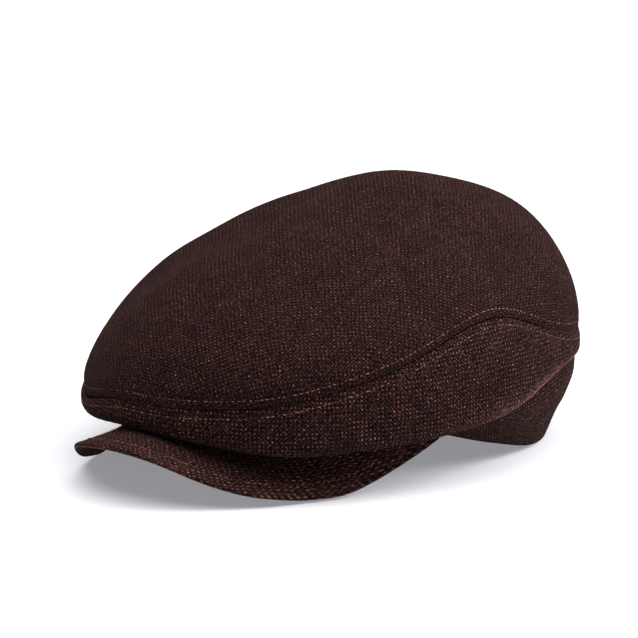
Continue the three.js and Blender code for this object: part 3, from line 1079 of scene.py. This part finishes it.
band_dense = band_grid(TURNS)
band_lengths = arc_lengths(band_dense)
band_share = np.linspace(0, 1, BAND_ROWS)[:, None]
band_rows = resample(band_dense, band_lengths, band_share * (band_lengths[-1] - WALL / 2)[None, :])
band_outer = band_rows + outward_normals(band_rows) * dents(band_rows)[..., None]
band_outer[:, :, 2] = band_rows[:, :, 2]
band_normals = outward_normals(band_outer)
band_rings, band_grains = wall_rows(band_outer, round_and_down(band_outer, SLANT), HEM_RIM)
band_cloth = ring_body(
    "band_cloth", band_rings, band_grains, (), band_wool, "head_band"
)

peak_shape = peak_piece(peak_wool)


# The seam's allowances inside, pressed open over the joint
ALLOWANCE_ROW = 8
ALLOWANCE_CLEAR = 0.0002
ALLOWANCE_THICK = 0.0012


def allowance_rows(depth):
    above = top_outer[ALLOWANCE_ROW::-1] - top_normals[ALLOWANCE_ROW::-1] * depth
    below = side_outer[: ALLOWANCE_ROW + 1] - side_normals[: ALLOWANCE_ROW + 1] * depth
    meeting = (above[-1] + below[0]) / 2
    return np.concatenate([above[:-1], meeting[None], below[1:]])


near_face = allowance_rows(WALL + ALLOWANCE_CLEAR)
far_face = allowance_rows(WALL + ALLOWANCE_CLEAR + ALLOWANCE_THICK)[::-1]
allowance_loops = np.concatenate([near_face, far_face])
allowance_grain = round_and_down(allowance_loops, SLANT)
ring_body(
    "seam_allowance", list(allowance_loops), list(allowance_grain), (), side_wool, None
)


# Stitches along the peak and the seam, and loose fibres on the cloth


def closed_path(grid, normals, row):
    path = np.concatenate([grid[row], grid[row, :1]])
    return path, np.concatenate([normals[row], normals[row, :1]])


PEAK_STITCH_IN = 0.006
PEAK_STITCH_ENDS = 24
PEAK_STITCH_ROW = -6

peak_upper = peak_shape[:PEAK_FACE_ROWS]
peak_normals = -grid_normals(peak_upper, closed=False)
if peak_normals[..., 2].sum() < 0:
    peak_normals = -peak_normals
peak_reach = arc_lengths(peak_upper)
from_rim = (peak_reach[-1] - PEAK_STITCH_IN)[None, :]
peak_row = resample(peak_upper, peak_reach, from_rim)[0, PEAK_STITCH_ENDS:-PEAK_STITCH_ENDS]
peak_row_normals = peak_normals[PEAK_STITCH_ROW, PEAK_STITCH_ENDS:-PEAK_STITCH_ENDS]
stitch_piece("peak_stitches", [(peak_row, peak_row_normals)], stitch_thread)
fibre_piece("peak_fibres", peak_upper, peak_normals, PEAK_FIBRES, loose_wool)

stitched = int(np.argmin(np.abs(SEAM_ROWS - STITCH_ROW)))
stitch_piece(
    "seam_stitches",
    [
        closed_path(top_outer, top_normals, stitched),
        closed_path(side_outer, side_normals, stitched),
    ],
    stitch_thread,
)

top_open, top_open_normals = top_outer[:-POLE_ROWS], top_normals[:-POLE_ROWS]
band_open, band_open_normals = band_outer[HIDDEN_ROWS:], band_normals[HIDDEN_ROWS:]
fibre_piece("top_fibres", top_open, top_open_normals, TOP_FIBRES, loose_wool)
fibre_piece("side_fibres", side_outer, side_normals, SIDE_FIBRES, loose_wool)
fibre_piece("band_fibres", band_open, band_open_normals, BAND_FIBRES, loose_wool)

# Floor, light and camera

FLOOR_HALF = 9.0
FLOOR_DROP = 0.0002
FLOOR_COLOUR = (0.42, 0.42, 0.44, 1)
FLOOR_GLOW = (0.93, 0.93, 1.0, 1)
FLOOR_GLOW_STRENGTH = 0.29
SKY_COLOUR = (0.9, 0.93, 1.0, 1)
SKY_STRENGTH = 0.24

floor_corners = [
    (x * FLOOR_HALF, y * FLOOR_HALF, -FLOOR_DROP) for x, y in ((-1, -1), (1, -1), (1, 1), (-1, 1))
]
floor_mesh = bpy.data.meshes.new("floor")
floor_mesh.from_pydata(floor_corners, [], [(0, 1, 2, 3)])
floor = bpy.data.objects.new("floor", floor_mesh)
bpy.context.scene.collection.objects.link(floor)
floor_look = Nodes("floor_look")
floor_look.shader.inputs["Base Color"].default_value = FLOOR_COLOUR
floor_look.shader.inputs["Roughness"].default_value = 0.8
floor_look.shader.inputs["Specular IOR Level"].default_value = 0.0
floor_look.shader.inputs["Emission Color"].default_value = FLOOR_GLOW
floor_look.shader.inputs["Emission Strength"].default_value = FLOOR_GLOW_STRENGTH
floor_mesh.materials.append(floor_look.material)

world = bpy.data.worlds.new("studio")
bpy.context.scene.world = world
world.use_nodes = True
world.node_tree.nodes["Background"].inputs["Color"].default_value = SKY_COLOUR
world.node_tree.nodes["Background"].inputs["Strength"].default_value = SKY_STRENGTH


def sun(name, azimuth, elevation, spread, strength, colour):
    """A soft light from one side: azimuth 0 shines from the front, 90 from the wearer's left.
    The spread is the width in degrees of the sky that it fills."""
    light = bpy.data.lights.new(name, "SUN")
    light.energy = strength
    light.angle = math.radians(spread)
    light.color = colour
    piece = bpy.data.objects.new(name, light)
    a, e = math.radians(azimuth), math.radians(elevation)
    back = Vector((math.sin(a) * math.cos(e), -math.cos(a) * math.cos(e), math.sin(e)))
    piece.rotation_euler = (-back).to_track_quat("-Z", "Y").to_euler()
    bpy.context.scene.collection.objects.link(piece)


sun("overhead", azimuth=80, elevation=84, spread=82, strength=6.3, colour=(1.0, 0.985, 0.96))
sun("right", azimuth=139, elevation=29, spread=34, strength=5.4, colour=(1.0, 0.97, 0.94))

VIEW_AZIMUTH = math.radians(43)
VIEW_ELEVATION = math.radians(14.5)
VIEW_DISTANCE = 2.0
VIEW_RIGHT = -0.020
VIEW_UP = 0.0582
LENS = 225.7
SENSOR_WIDTH = 36
CLIP_END = 50
cos_e, sin_e = math.cos(VIEW_ELEVATION), math.sin(VIEW_ELEVATION)
back = Vector((math.sin(VIEW_AZIMUTH) * cos_e, -math.cos(VIEW_AZIMUTH) * cos_e, sin_e))
right = Vector((math.cos(VIEW_AZIMUTH), math.sin(VIEW_AZIMUTH), 0))
up = back.cross(right)
anchor = Vector((0, OPENING_Y, 0))
camera_data = bpy.data.cameras.new("camera")
camera_data.lens = LENS
camera_data.sensor_width = SENSOR_WIDTH
camera_data.clip_end = CLIP_END
camera = bpy.data.objects.new("camera", camera_data)
bpy.context.scene.collection.objects.link(camera)
camera.location = anchor + back * VIEW_DISTANCE
aim = anchor + right * VIEW_RIGHT + up * VIEW_UP
camera.rotation_euler = (aim - camera.location).to_track_quat("-Z", "Y").to_euler()
bpy.context.scene.camera = camera
bpy.context.scene.view_settings.view_transform = "Standard"
